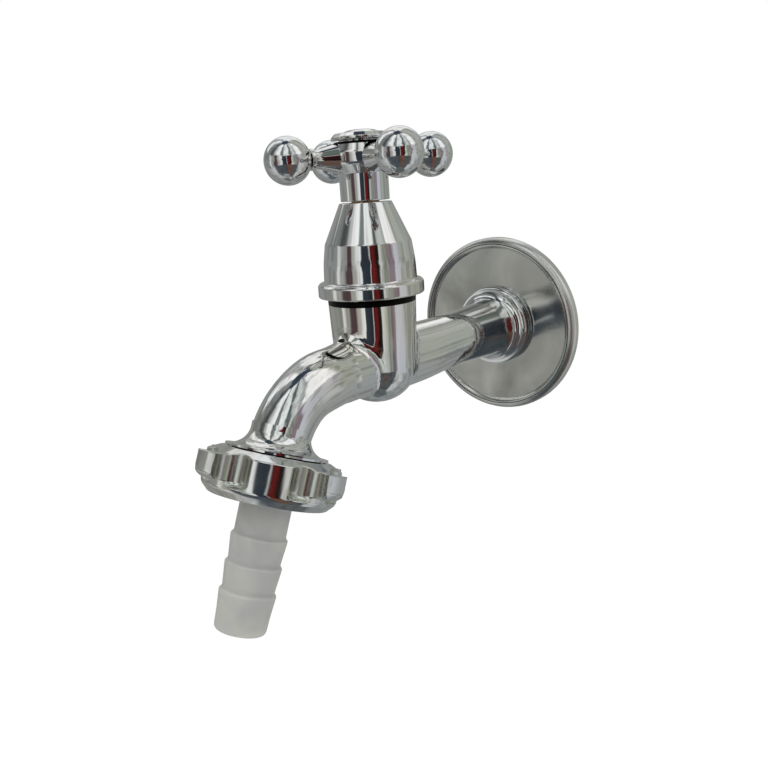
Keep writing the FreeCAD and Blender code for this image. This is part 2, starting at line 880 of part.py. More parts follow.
def wall_flange():
    """Pressed disc with a rolled bead round its rim."""
    hole = inlet_thread_radius + flange_hole_gap
    foot = flange_radius - flange_bead_width
    dish = flange_face + flange_dish
    shift = flange_sheet * flange_foot_shift
    inner_top = -flange_bead_height + flange_sheet
    profile = [
        (hole, -flange_face),
        (foot, -dish),
        (foot + flange_bead_lean, -flange_bead_height, flange_bead_round),
        (flange_radius, -flange_bead_height, flange_rim_round),
        (flange_radius, 0),
        (flange_radius - flange_sheet, 0),
        (flange_radius - flange_sheet, inner_top, flange_rim_round - flange_sheet),
        (foot + flange_bead_lean + shift, inner_top, flange_bead_round - flange_sheet),
        (foot + shift, -dish + flange_sheet),
        (hole, -flange_face + flange_sheet),
    ]
    return along_inlet(turned(profile))


# Hose union

def barb_gasket():
    return at_outlet(ring(
        tail_flange_radius, outlet_bore_radius, gasket_start + contact_gap, gasket_end))


def hose_barb():
    first = nut_bottom + tail_plain_length
    corners = [
        (tail_bore_radius, gasket_end),
        (tail_flange_radius, gasket_end, edge_round),
        (tail_flange_radius, tail_flange_end, edge_round),
        (tail_shank_radius, tail_flange_end),
        (tail_root_radius, first - tail_shoulder),
    ]
    for k in range(tail_ridge_count):
        crest = first + k * tail_ridge_pitch
        last = k == tail_ridge_count - 1
        corners.append((tail_crest_radius, crest))
        corners.append((tail_crest_radius, crest + tail_ridge_land))
        if not last:
            corners.append((tail_root_radius, crest + tail_ridge_pitch - tail_shoulder))
    crest = first + (tail_ridge_count - 1) * tail_ridge_pitch + tail_ridge_land
    tip = crest + tail_tip_length
    corners += [
        (tail_root_radius, crest + tail_taper_length, tail_taper_curve),
        (tail_tip_radius, tip, tail_tip_round),
        (tail_bore_radius, tip, edge_round),
    ]
    return at_outlet(turned(corners))


def nut_round():
    """Round blank of the nut with a wide bevel above and a chamfer below."""
    return turned([
        (0, nut_top),
        (nut_radius - nut_bevel_width, nut_top, edge_round),
        (nut_radius, nut_top + nut_bevel, edge_round),
        (nut_radius, nut_bottom - nut_chamfer, nut_chamfer_round),
        (nut_radius - nut_chamfer_width, nut_bottom, edge_round),
        (0, nut_bottom),
    ])


def nut_lug():
    """Lug that stands out along +X, square above and rounded below."""
    top = nut_top + nut_bevel
    bottom = top + lug_height
    blank = turned([
        (0, top),
        (lug_radius, top, edge_round),
        (lug_radius, bottom, lug_round),
        (0, bottom),
    ])
    bar = Part.makeBox(lug_radius, lug_width, lug_height, Vector(0, -lug_width / 2, top))
    return blank.common(bar)


def nut_scallop(angle):
    """Cutter for the round groove beside a lug, open at the nut's top."""
    reach = nut_radius + scallop_radius - scallop_depth
    place = Vector(
        reach * math.cos(math.radians(angle)), reach * math.sin(math.radians(angle)),
        nut_top - cut_overrun)
    depth = nut_bottom - nut_top - scallop_floor + cut_overrun
    return Part.makeCylinder(scallop_radius, depth, place)


def union_nut():
    """Four-lug nut with scallops between the lugs."""
    lugs = []
    scallops = []
    for k in range(lug_count):
        turn = 360.0 * k / lug_count
        lug = nut_lug()
        lug.rotate(Vector(0, 0, 0), Vector(0, 0, 1), turn)
        lugs.append(lug)
        scallops += [nut_scallop(turn - scallop_angle), nut_scallop(turn + scallop_angle)]
    nut = nut_round().fuse(lugs).cut(Part.makeCompound(scallops))
    bore = outlet_thread_radius + thread_gap
    end_wall = tail_flange_end + contact_gap
    thread = rod(bore, nut_top - cut_overrun, end_wall)
    hole = rod(tail_crest_radius + nut_hole_gap, end_wall - embed, nut_bottom + cut_overrun)
    mouth = turned([
        (0, nut_top - cut_overrun),
        (bore + nut_mouth + cut_overrun, nut_top - cut_overrun),
        (bore, nut_top + nut_mouth),
        (0, nut_top + nut_mouth),
    ])
    return at_outlet(nut.cut(thread.fuse([hole, mouth])))


def main():
    os.makedirs(parts_folder, exist_ok=True)
    save("body", body())
    save("valve_seat", valve_seat())
    save("wall_flange", wall_flange())
    save("headwork_body", headwork_body())
    save("headwork_gasket", headwork_gasket())
    save("cover_oring", cover_oring())
    save("packing_washer", packing_washer())
    save("gland_packing", gland_packing())
    save("gland_nut", gland_nut())
    save("bonnet_cover", bonnet_cover())
    save("jumper_valve", jumper_valve())
    save("jumper_washer", jumper_washer())
    save("washer_nut", washer_nut())
    save("spindle", spindle())
    save("handle_cross", handle_cross())
    for k in range(arm_count):
        save("handle_ball_%d" % (k + 1), handle_ball(k))
    save("handle_screw", handle_screw())
    save("screw_washer", screw_washer())
    save("handle_cap", handle_cap())
    save("barb_gasket", barb_gasket())
    save("hose_barb", hose_barb())
    save("union_nut", union_nut())


main()
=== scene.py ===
import json
import math

import bmesh
import bpy
from mathutils import Matrix, Vector


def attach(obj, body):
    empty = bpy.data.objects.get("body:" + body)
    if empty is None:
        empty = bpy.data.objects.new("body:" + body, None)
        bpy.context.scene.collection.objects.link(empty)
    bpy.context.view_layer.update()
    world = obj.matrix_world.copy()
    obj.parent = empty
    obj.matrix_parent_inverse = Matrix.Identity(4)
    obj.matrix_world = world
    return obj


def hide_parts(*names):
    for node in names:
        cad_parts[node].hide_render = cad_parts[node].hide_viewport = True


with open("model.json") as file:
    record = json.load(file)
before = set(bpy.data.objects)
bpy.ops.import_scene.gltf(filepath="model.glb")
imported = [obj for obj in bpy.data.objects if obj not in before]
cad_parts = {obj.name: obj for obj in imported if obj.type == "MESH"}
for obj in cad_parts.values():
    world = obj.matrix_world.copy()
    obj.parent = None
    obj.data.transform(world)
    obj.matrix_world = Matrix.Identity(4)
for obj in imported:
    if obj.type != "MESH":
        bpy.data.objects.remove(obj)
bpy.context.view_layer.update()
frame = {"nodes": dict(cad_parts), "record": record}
nodes = frame["nodes"]
mm = 0.001
bpy.context.scene.view_settings.view_transform = "Standard"
print("frame loaded,", len(nodes), "nodes")


def hexColour(code):
    # sRGB hex to the linear values that shader sockets take
    parts = [int(code[i:i + 2], 16) / 255 for i in (1, 3, 5)]
    return tuple(c / 12.92 if c <= 0.04045 else ((c + 0.055) / 1.055) ** 2.4 for c in parts) + (1.0,)


def perMm(size):
    # a texture's scale, from the size in mm of what it draws
    return 1.0 / (size * mm)


# Shader nodes. All of these but addNode give back the socket that carries their result.

def addNode(tree, kind, inputs=None, **settings):
    # adds a node, sets it and links or fills its sockets
    node = tree.nodes.new(kind)
    for name, value in settings.items():
        setattr(node, name, value)
    for socket, value in (inputs or {}).items():
        if isinstance(value, bpy.types.NodeSocket):
            tree.links.new(value, node.inputs[socket])
        else:
            node.inputs[socket].default_value = value
    return node


def mathNode(tree, operation, *values):
    return addNode(tree, "ShaderNodeMath", dict(enumerate(values)), operation=operation).outputs[0]


def vectorNode(tree, operation, *values, result="Vector"):
    node = addNode(tree, "ShaderNodeVectorMath", dict(enumerate(values)), operation=operation)
    return node.outputs[result]


def splitNode(tree, vector):
    # gives back the three sockets, by name
    return addNode(tree, "ShaderNodeSeparateXYZ", {0: vector}).outputs


def rangeNode(tree, value, start, end, low=0.0, high=1.0, **settings):
    # low where the value is at its start, high at its end, and even or smooth between
    return addNode(tree, "ShaderNodeMapRange", {
        "Value": value, "From Min": start, "From Max": end, "To Min": low, "To Max": high},
        **settings).outputs["Result"]


def noiseNode(tree, vector, settings, result="Fac"):
    return addNode(tree, "ShaderNodeTexNoise", {
        "Vector": vector,
        "Scale": perMm(settings["size"]) if "size" in settings else settings["scale"],
        "Detail": settings["detail"],
        "Roughness": settings.get("evenness", 0.5),
        "Distortion": settings.get("distortion", 0.0)}).outputs[result]


def lineNode(tree, along, spacing, detail):
    # noise that changes along one direction only
    place = mathNode(tree, "MULTIPLY", along, perMm(spacing))
    return addNode(tree, "ShaderNodeTexNoise", {
        "W": place, "Scale": 1.0, "Detail": detail}, noise_dimensions="1D").outputs["Fac"]


def rampNode(tree, value, stops):
    # stops are (place from 0 to 1, hex colour), in order
    node = addNode(tree, "ShaderNodeValToRGB", {"Fac": value})
    ramp = node.color_ramp
    while len(ramp.elements) > 1:
        ramp.elements.remove(ramp.elements[-1])
    ramp.elements[0].position = stops[0][0]
    ramp.elements[0].color = hexColour(stops[0][1])
    for place, code in stops[1:]:
        ramp.elements.new(place).color = hexColour(code)
    return node.outputs["Color"]


def blendNode(tree, share, first, second, blend="MIX"):
    return addNode(tree, "ShaderNodeMix", {
        0: share, 6: first, 7: second}, data_type="RGBA", blend_type=blend).outputs[2]


def bumpNode(tree, height, distance, normal=None, strength=1.0):
    inputs = {"Height": height, "Strength": strength, "Distance": distance}
    if normal:
        inputs["Normal"] = normal
    return addNode(tree, "ShaderNodeBump", inputs).outputs["Normal"]


def roundedNormal(tree, width):
    return addNode(tree, "ShaderNodeBevel", {"Radius": width * mm}, samples=4).outputs["Normal"]


def shaderMix(tree, share, first, second):
    return addNode(tree, "ShaderNodeMixShader", {0: share, 1: first, 2: second}).outputs[0]


def newMaterial(name):
    material = bpy.data.materials.new(name)
    material.use_nodes = True
    material.node_tree.nodes.clear()
    return material, material.node_tree


def closeMaterial(material, tree, inputs):
    shader = addNode(tree, "ShaderNodeBsdfPrincipled", inputs).outputs[0]
    addNode(tree, "ShaderNodeOutputMaterial", {"Surface": shader})
    return material


# Camera, at the photograph's viewing angle
cameraSet = {
    "place": (0.14675, -0.23704, 0.05126),
    "yaw": 40.827,
    "pitch": 14.532,
    "roll": -3.808,
    "lens": 35.59,
    "sensor": 36.0,
    "clip": (0.01, 50.0),
}


def makeCamera(settings):
    yaw, pitch, roll = (math.radians(settings[k]) for k in ("yaw", "pitch", "roll"))
    back = Vector((math.sin(yaw) * math.cos(pitch), -math.cos(yaw) * math.cos(pitch), math.sin(pitch)))
    right = Vector((math.cos(yaw), math.sin(yaw), 0.0))
    up = back.cross(right)
    rolledRight = right * math.cos(roll) + up * math.sin(roll)
    rolledUp = up * math.cos(roll) - right * math.sin(roll)
    data = bpy.data.cameras.new("camera")
    data.lens = settings["lens"]
    data.sensor_width = settings["sensor"]
    data.clip_start, data.clip_end = settings["clip"]
    camera = bpy.data.objects.new("camera", data)
    bpy.context.scene.collection.objects.link(camera)
    turn = Matrix((rolledRight, rolledUp, back)).transposed().to_4x4()
    camera.matrix_world = Matrix.Translation(settings["place"]) @ turn
    bpy.context.scene.camera = camera


makeCamera(cameraSet)

# Studio. What the plating mirrors is a plain room: a grey paper sheet all round the back,
# in front of it white ceiling panels, a doorway, a red cupboard and a slate floor.
# The lists of ceiling, level and floor run once round from straight behind the tap (0): left
# at 0.25, the camera at 0.5, right at 0.75. Where one row of the room passes into the next
# is given as a pair of heights, from -1 straight down to 1 straight up.
studioSet = {
    "heading": 40.8,
    "light": 0.55,
    "mirrored": 1.14,
    "backdrop": 1.0,
    "eyeLine": (0.36, 0.42),
    "floorLine": (-0.33, -0.29),
    "underfoot": {"line": (-0.94, -0.97), "colour": "#5F6466"},
    "skylight": {"line": (0.968, 0.978), "colour": "#3E4754"},
    "sway": {"bearing": 0.45, "height": 0.16, "scale": 2.6, "detail": 3.0, "evenness": 0.55},
    "clutter": {
        "share": 0.6, "scale": 4.0, "detail": 2.0, "distortion": 1.0,
        "shades": [(0.36, "#B4B0AC"), (0.50, "#F4F4F4"), (0.62, "#FFFFFF")]},
    "ceiling": [
        (0.00, "#F2F3F2"), (0.05, "#F4F5F4"), (0.07, "#A9ACAB"), (0.10, "#B4B7B5"), (0.12, "#FFFFFF"),
        (0.17, "#F6F8F7"), (0.19, "#8D908F"), (0.235, "#8A8D8C"), (0.275, "#4E5251"), (0.30, "#565A58"),
        (0.318, "#8E9391"), (0.36, "#FAFBFA"), (0.42, "#F4F6F5"), (0.43, "#77817F"), (0.455, "#868E8C"),
        (0.466, "#F0F4F3"), (0.54, "#E6EBE9"), (0.553, "#5E6865"), (0.578, "#66706D"), (0.588, "#C9CECC"),
        (0.615, "#D2D6D4"), (0.64, "#9DA3A1"), (0.652, "#F8F8F8"), (0.725, "#FFFFFF"), (0.745, "#A6AAA1"),
        (0.80, "#A3A79F"), (0.83, "#AFB2AC"), (0.86, "#B6B9B3"), (0.88, "#A3A6A2"), (0.92, "#B0B3AF"),
        (0.94, "#F4F5F4"), (1.00, "#F2F3F2"),
    ],
    "level": [
        (0.00, "#8F928F"), (0.248, "#8B8E8A"), (0.256, "#DADCD8"), (0.276, "#C9CBC7"), (0.286, "#A3A5A1"),
        (0.322, "#9B9C97"), (0.334, "#4E4042"), (0.368, "#524244"), (0.380, "#A2A29D"), (0.404, "#B2B1AC"),
        (0.415, "#D3D7D3"), (0.447, "#E9ECE9"), (0.453, "#343B42"), (0.500, "#2C333A"), (0.504, "#E4E6E6"),
        (0.511, "#4A1518"), (0.530, "#6B2020"), (0.545, "#53201C"), (0.553, "#171212"), (0.570, "#2A2423"),
        (0.578, "#D0D2CE"), (0.598, "#B4B8B0"), (0.606, "#8F9488"), (0.624, "#8F9488"), (0.634, "#877A80"),
        (0.670, "#8A7D84"), (0.680, "#C2C4C8"), (0.735, "#B7B9BC"), (0.745, "#9DA199"), (0.80, "#A6AAA1"),
        (0.87, "#9A9D97"), (1.00, "#8F928F"),
    ],
    "floor": [
        (0.00, "#8B8E8C"), (0.18, "#8F918F"), (0.24, "#AEB0AE"), (0.30, "#C9CBC9"), (0.33, "#7B7F80"),
        (0.345, "#50565B"), (0.47, "#4A5157"), (0.50, "#59504C"), (0.535, "#75503F"), (0.56, "#5A5450"),
        (0.65, "#50565A"), (0.67, "#B9BBBA"), (0.72, "#C6C8C7"), (0.78, "#999C9A"), (1.00, "#8B8E8C"),
    ],
}


def roomPicture(tree, direction, settings):
    heading = math.radians(settings["heading"])
    ahead = (math.sin(heading), -math.cos(heading), 0)
    aside = (math.cos(heading), math.sin(heading), 0)
    along = vectorNode(tree, "DOT_PRODUCT", direction, ahead, result="Value")
    across = vectorNode(tree, "DOT_PRODUCT", direction, aside, result="Value")
    bearing = mathNode(tree, "ARCTAN2", across, along)
    height = splitNode(tree, direction)["Z"]
    # furniture and folds make the room's upright and level lines uneven
    sway = settings["sway"]
    swayed = splitNode(tree, noiseNode(tree, direction, sway, "Color"))
    bearing = mathNode(tree, "MULTIPLY_ADD", swayed["X"], sway["bearing"], bearing)
    bearing = mathNode(tree, "SUBTRACT", bearing, sway["bearing"] / 2)
    height = mathNode(tree, "MULTIPLY_ADD", swayed["Y"], sway["height"], height)
    height = mathNode(tree, "SUBTRACT", height, sway["height"] / 2)
    place = rangeNode(tree, bearing, -math.pi, math.pi)
    ceiling, level, floor = (
        rampNode(tree, place, settings[name]) for name in ("ceiling", "level", "floor"))
    room = blendNode(tree, rangeNode(tree, height, *settings["floorLine"]), floor, level)
    room = blendNode(tree, rangeNode(tree, height, *settings["eyeLine"]), room, ceiling)
    for name in ("underfoot", "skylight"):
        share = rangeNode(tree, height, *settings[name]["line"])
        room = blendNode(tree, share, room, hexColour(settings[name]["colour"]))
    clutter = settings["clutter"]
    shade = rampNode(tree, noiseNode(tree, direction, clutter), clutter["shades"])
    return blendNode(tree, clutter["share"], room, shade, "MULTIPLY")


def makeWorld(settings):
    world = bpy.data.worlds.new("studioRoom")
    world.use_nodes = True
    tree = world.node_tree
    tree.nodes.clear()
    direction = addNode(tree, "ShaderNodeTexCoord").outputs["Generated"]
    room = roomPicture(tree, direction, settings)
    white = (1, 1, 1, 1)
    light, mirrored, backdrop = (
        addNode(tree, "ShaderNodeBackground", {"Color": colour, "Strength": settings[name]}).outputs[0]
        for name, colour in (("light", white), ("mirrored", room), ("backdrop", white)))
    path = addNode(tree, "ShaderNodeLightPath").outputs
    seen = shaderMix(tree, path["Is Glossy Ray"], light, mirrored)
    behind = mathNode(tree, "MAXIMUM", path["Is Camera Ray"], path["Is Transmission Ray"])
    seen = shaderMix(tree, behind, seen, backdrop)
    addNode(tree, "ShaderNodeOutputWorld", {"Surface": seen})
    bpy.context.scene.world = world


makeWorld(studioSet)

floorSet = {
    "height": -0.20,
    "size": 40.0,
    "colour": "#F4F4F2",
    "rough": 0.9,
    "glow": {"strength": 1.04, "share": 0.93},      # what the camera sees is nearly all glow
}


def makeFloor(settings):
    bpy.ops.object.select_all(action="DESELECT")
    bpy.ops.mesh.primitive_plane_add(size=settings["size"], location=(0, 0, settings["height"]))
    floor = bpy.context.object
    floor.name = "floor"
    material, tree = newMaterial("pale painted floor")
    path = addNode(tree, "ShaderNodeLightPath").outputs
    paint = addNode(tree, "ShaderNodeBsdfPrincipled", {
        "Base Color": hexColour(settings["colour"]), "Roughness": settings["rough"]}).outputs[0]
    glow = addNode(tree, "ShaderNodeEmission", {
        "Color": (1, 1, 1, 1), "Strength": settings["glow"]["strength"]}).outputs[0]
    share = mathNode(tree, "MULTIPLY", path["Is Camera Ray"], settings["glow"]["share"])
    addNode(tree, "ShaderNodeOutputMaterial", {"Surface": shaderMix(tree, share, paint, glow)})
    floor.data.materials.append(material)
    floor.visible_glossy = False       # the plating mirrors the room instead


makeFloor(floorSet)

lampAim = (0, -0.07, 0)
lampSet = [
    {"name": "topLamp", "place": (-0.10, -0.45, 0.90), "size": 0.9, "power": 4.0},
    {"name": "sideLamp", "place": (0.95, -0.40, 0.45), "size": 0.7, "power": 2.0},
]


def makeLamp(settings):
    data = bpy.data.lights.new(settings["name"], "AREA")
    data.size = settings["size"]
    data.energy = settings["power"]
    lamp = bpy.data.objects.new(settings["name"], data)
    lamp.location = settings["place"]
    towards = Vector(lampAim) - Vector(settings["place"])
    lamp.rotation_euler = towards.to_track_quat("-Z", "Y").to_euler()
    lamp.visible_glossy = False        # its square would show on the plating
    bpy.context.scene.collection.objects.link(lamp)


for settings in lampSet:
    makeLamp(settings)
print("camera and studio made")


# The outlet leans forward, and its plane meets the spout's end here. The nut, the tail and
# the outlet's part of the plating are given in its frame, in mm, with heights up its axis.
outletSet = {"origin": (0.0, -112.7401, -16.0457), "tilt": 23.7}

# Union nut, forged in brass: round blank with a wide bevel above and a chamfer below, four
# lugs, and a round groove on each side of every lug. A round is given as its width and its
# number of steps. The tools of the bore and the hole pass the surface by the overcut. Faces
# that lie level within 0.3 degrees are made one before the edges are rounded. These sizes
# stand here because the plating is duller in the grooves.
nutSet = {
    "sides": 144,
    "radius": 18.0,
    "top": 1.0,
    "bottom": -11.4,
    "bevel": (3.4, 1.6),
    "chamfer": (2.2, 2.2),
    "shoulder": (0.8, 4),
    "lug": {"reach": 23.16, "width": 11.6, "root": 8.0, "top": -0.6, "bottom": -7.2, "round": (2.4, 6)},
    "groove": {
        "sides": 128, "radius": 4.5, "reach": 21.0, "angle": 18.7, "top": 3.0, "bottom": -8.5,
        "round": (1.5, 5)},
    "thread": {
        "bore": 13.32, "mouth": 0.3, "depth": 0.8, "pitch": 1.814, "flat": 0.2, "start": 1.2,
        "spare": 2.0},
    "hole": {"sides": 96, "radius": 7.8},
    "endWall": -9.92,
    "overcut": 1.0,
    "weld": 0.05,
    "level": 0.3,
    "edge": {"width": 0.3, "steps": 3, "sharper": 24.0},
    "smooth": 35.0,
}

# Bright nickel and chrome plate over brass. Buffed before plating, so it mirrors the room
# sharply, but a cast or forged blank keeps the slow waves that the buffing wheel left, which
# are longer along the tap. Along turned and pressed edges the plate is thinner and duller.
plateSet = {
    "cast": {
        "colour": "#E3E4E6",
        "rough": 0.03,
        "wave": {"size": 14.0, "detail": 0.0, "height": 0.6},
        # painted shade: near-black bands at these heights, in mm, in the joints under the cover and the
        # cap
        "jointShade": {"colour": "#161716", "rough": 0.35, "bands": ((19.0, 21.0), (63.2, 64.3))},
        "waist": {"place": -32.0, "slope": 0.024, "spread": 5.0},
        "bell": {"place": 8.5, "reach": 2.3, "height": 0.46, "radius": 8.05},
    },
    "turned": {
        "colour": "#E4E5E7",
        "rough": 0.02,
        "wave": {"size": 12.0, "detail": 0.0, "height": 0.08},
        "wear": {"colour": "#CFCDC6", "rough": 0.06, "width": 0.3, "facing": (0.995, 0.90)},
        "lines": {"length": 30.0, "spacing": 0.4, "height": 0.0012},
    },
    "forged": {
        "colour": "#E0E1E3",
        "rough": 0.07,
        "wave": {"size": 7.0, "detail": 0.0, "height": 0.14},
        "groove": {"colour": "#D6D8D1", "rough": 0.13, "fade": (0.25, 0.05), "under": 0.1},
    },
    "pressed": {
        "colour": "#E4E5E7",
        "rough": 0.025,
        "wave": {"size": 7.0, "detail": 0.0, "height": 0.012},
        "wear": {"colour": "#CFCDC6", "rough": 0.06, "width": 0.3, "facing": (0.995, 0.90)},
    },
}
hazeSet = {"size": 6.0, "detail": 6.0, "evenness": 0.65, "from": 0.40, "to": 0.75, "rough": 0.05}
driftSet = {
    "size": 25.0, "detail": 2.0,
    "bluish": (0.35, "#DFE2E6"), "middle": 0.5, "warm": (0.68, "#E6E4E0")}
waveStretch = (1.0, 0.45, 1.0)


def outletFrame(tree, point):
    # place in the outlet's own frame, with Z up its axis
    return addNode(tree, "ShaderNodeMapping", {
        "Vector": point,
        "Location": Vector(outletSet["origin"]) * mm,
        "Rotation": (math.radians(-outletSet["tilt"]), 0, 0)}, vector_type="TEXTURE").outputs["Vector"]


def spoilOrShade(tree, share, spot, tone, rough):
    # gives the plate a spot's colour and adds its roughness where share is 1; the spot is real wear or
    # duller plate, or painted shade in the joints
    tone = blendNode(tree, share, tone, hexColour(spot["colour"]))
    return tone, mathNode(tree, "MULTIPLY_ADD", share, spot["rough"], rough)


def wearEdges(tree, wear, normal, tone, rough):
    rounded = roundedNormal(tree, wear["width"])
    facing = vectorNode(tree, "DOT_PRODUCT", rounded, normal, result="Value")
    tone, rough = spoilOrShade(tree, rangeNode(tree, facing, *wear["facing"]), wear, tone, rough)
    return rounded, tone, rough


def paintJointShade(tree, point, jointShade, tone, rough):
    # painted shade: near-black bands at the joints under the cover and the cap stand in for the shadow in
    # these gaps
    height = splitNode(tree, point)["Z"]
    for low, high in jointShade["bands"]:
        inside = mathNode(tree, "COMPARE", height, (low + high) / 2 * mm, (high - low) / 2 * mm)
        tone, rough = spoilOrShade(tree, inside, jointShade, tone, rough)
    return tone, rough


def dullGrooves(tree, point, dull, tone, rough):
    # the buffing wheel doesn't reach into the nut's grooves, so the plate is duller there;
    # the eight grooves are folded onto one
    groove = nutSet["groove"]
    own = outletFrame(tree, point)
    folded = splitNode(tree, vectorNode(tree, "ABSOLUTE", own))
    far, near = (
        mathNode(tree, operation, folded["X"], folded["Y"]) for operation in ("MAXIMUM", "MINIMUM"))
    across = addNode(tree, "ShaderNodeCombineXYZ", {0: far, 1: near}).outputs[0]
    turn = math.radians(groove["angle"])
    middle = Vector((math.cos(turn), math.sin(turn), 0)) * groove["reach"] * mm
    away = vectorNode(tree, "DISTANCE", across, middle, result="Value")
    inside = rangeNode(tree, away, *((groove["radius"] + fade) * mm for fade in dull["fade"]))
    lowest = (groove["bottom"] - dull["under"]) * mm
    over = mathNode(tree, "GREATER_THAN", splitNode(tree, own)["Z"], lowest)
    return spoilOrShade(tree, mathNode(tree, "MULTIPLY", inside, over), dull, tone, rough)


def buffWaist(tree, point, waist, normal):
    # the neck is buffed across its waist, where the flare meets the socket at a slight angle
    along = mathNode(tree, "SUBTRACT", splitNode(tree, point)["Y"], waist["place"] * mm)
    spread = addNode(tree, "ShaderNodeCombineXYZ", {0: along, 1: waist["spread"] * mm}).outputs[0]
    spread = vectorNode(tree, "LENGTH", spread, result="Value")
    filled = mathNode(tree, "SUBTRACT", spread, mathNode(tree, "ABSOLUTE", along))
    return bumpNode(tree, filled, waist["slope"], normal)


def buffBell(tree, point, bell, normal):
    # the bell's top edge, which stands a little out of the spout's outer side, is buffed too:
    # the lower half of a smooth step starts at the edge
    own = splitNode(tree, outletFrame(tree, point))
    upper, lower = ((bell["place"] + side * bell["reach"]) * mm for side in (1, -1))
    step = rangeNode(tree, own["Z"], upper, lower, interpolation_type="SMOOTHSTEP")
    half = mathNode(tree, "SUBTRACT", mathNode(tree, "MAXIMUM", step, 0.5), 0.5)
    outer = rangeNode(tree, own["Y"], 0.0, -bell["radius"] * mm)
    return bumpNode(tree, mathNode(tree, "MULTIPLY", half, outer), bell["height"] * mm, normal)


def latheLines(tree, point, lines, normal):
    # tool lines of the lathe, drawn far enough apart that they just show
    scale = [perMm(lines[name]) for name in ("length", "length", "spacing")]
    drawn = addNode(tree, "ShaderNodeMapping", {"Vector": point, "Scale": scale}).outputs["Vector"]
    cuts = noiseNode(tree, drawn, {"scale": 1.0, "detail": 2.0})
    return bumpNode(tree, cuts, lines["height"] * mm, normal)


def chromePlate(name, settings):
    material, tree = newMaterial(name)
    point = addNode(tree, "ShaderNodeTexCoord").outputs["Object"]
    normal = addNode(tree, "ShaderNodeNewGeometry").outputs["Normal"]
    haze = noiseNode(tree, point, hazeSet)
    clear, hazy = settings["rough"], settings["rough"] + hazeSet["rough"]
    rough = rangeNode(tree, haze, hazeSet["from"], hazeSet["to"], clear, hazy)
    tone = rampNode(tree, noiseNode(tree, point, driftSet), [
        driftSet["bluish"], (driftSet["middle"], settings["colour"]), driftSet["warm"]])
    if "wear" in settings:
        normal, tone, rough = wearEdges(tree, settings["wear"], normal, tone, rough)
    # painted shade in the joints under the cover and the cap
    if "jointShade" in settings:
        tone, rough = paintJointShade(tree, point, settings["jointShade"], tone, rough)
    if "groove" in settings:
        tone, rough = dullGrooves(tree, point, settings["groove"], tone, rough)
    if "waist" in settings:
        normal = buffWaist(tree, point, settings["waist"], normal)
    if "bell" in settings:
        normal = buffBell(tree, point, settings["bell"], normal)
    drawn = addNode(tree, "ShaderNodeMapping", {"Vector": point, "Scale": waveStretch}).outputs["Vector"]
    wave = noiseNode(tree, drawn, settings["wave"])
    normal = bumpNode(tree, wave, settings["wave"]["height"] * mm, normal)
    if "lines" in settings:
        normal = latheLines(tree, point, settings["lines"], normal)
    return closeMaterial(material, tree, {
        "Base Color": tone, "Metallic": 1.0, "Roughness": rough, "Normal": normal})


# Stainless sheet, pressed and then polished on a wheel: soft cloudy sheen, with fine rings
# round the flange's middle that spread each reflection.
sheetSet = {
    "tones": [(0.30, "#BFC0BE"), (0.70, "#F0F0ED")],
    "rough": (0.07, 0.19),
    "cloud": {"size": 22.0, "detail": 3.0, "distortion": 0.6, "from": 0.35, "to": 0.70},
    "rings": {"spacing": 0.35, "detail": 3.0, "height": 0.004},
    "bead": {"from": 27.8, "to": 29.0, "rough": 0.15},     # rolled after the polishing, so duller
    "edge": 0.3,
}


def polishedSheet(name, settings):
    material, tree = newMaterial(name)
    point = addNode(tree, "ShaderNodeTexCoord").outputs["Object"]
    flat = vectorNode(tree, "MULTIPLY", point, (1, 0, 1))
    radius = vectorNode(tree, "LENGTH", flat, result="Value")
    cloud = noiseNode(tree, point, settings["cloud"])
    rough = rangeNode(tree, cloud, settings["cloud"]["from"], settings["cloud"]["to"], *settings["rough"])
    bead = settings["bead"]
    outer = rangeNode(tree, radius, bead["from"] * mm, bead["to"] * mm)
    rough = mathNode(tree, "MULTIPLY_ADD", outer, bead["rough"], rough)
    rings = lineNode(tree, radius, settings["rings"]["spacing"], settings["rings"]["detail"])
    rings = mathNode(tree, "MULTIPLY", rings, mathNode(tree, "SUBTRACT", 1.0, outer))
    normal = roundedNormal(tree, settings["edge"])
    normal = bumpNode(tree, rings, settings["rings"]["height"] * mm, normal)
    return closeMaterial(material, tree, {
        "Base Color": rampNode(tree, cloud, settings["tones"]), "Metallic": 1.0,
        "Roughness": rough, "Normal": normal})


# Natural polypropylene, injection moulded: milky, a little light passes through its
# walls, and the tool leaves a silky skin and a faint seam along each side.
milkySet = {
    "tones": [(0.35, "#B4B5B4"), (0.62, "#BEBFB8")],
    "rough": (0.31, 0.44),
    "refraction": 1.49,
    "flow": {"size": 11.0, "detail": 2.0, "distortion": 0.8},
    "skin": {"size": 0.5, "detail": 3.0, "height": 0.006},
    "seam": {"half": 0.22, "height": 0.05, "strength": 0.8},
    "inside": {"share": 0.8, "colours": (1.0, 0.95, 0.9), "depth": 6.0},
}


def milkyPlastic(name, settings):
    material, tree = newMaterial(name)
    skin, seam, inside = settings["skin"], settings["seam"], settings["inside"]
    point = addNode(tree, "ShaderNodeTexCoord").outputs["Object"]
    flow = noiseNode(tree, point, settings["flow"])
    normal = bumpNode(tree, noiseNode(tree, point, skin), skin["height"] * mm)
    side = mathNode(tree, "ABSOLUTE", splitNode(tree, point)["X"])
    line = rangeNode(tree, side, 0.0, seam["half"] * mm, 1.0, 0.0, interpolation_type="SMOOTHSTEP")
    normal = bumpNode(tree, line, seam["height"] * mm, normal, seam["strength"])
    return closeMaterial(material, tree, {
        "Base Color": rampNode(tree, flow, settings["tones"]),
        "Roughness": rangeNode(tree, flow, 0.0, 1.0, *settings["rough"]),
        "IOR": settings["refraction"],
        "Subsurface Weight": inside["share"],
        "Subsurface Radius": inside["colours"],
        "Subsurface Scale": inside["depth"] * mm,
        "Normal": normal})


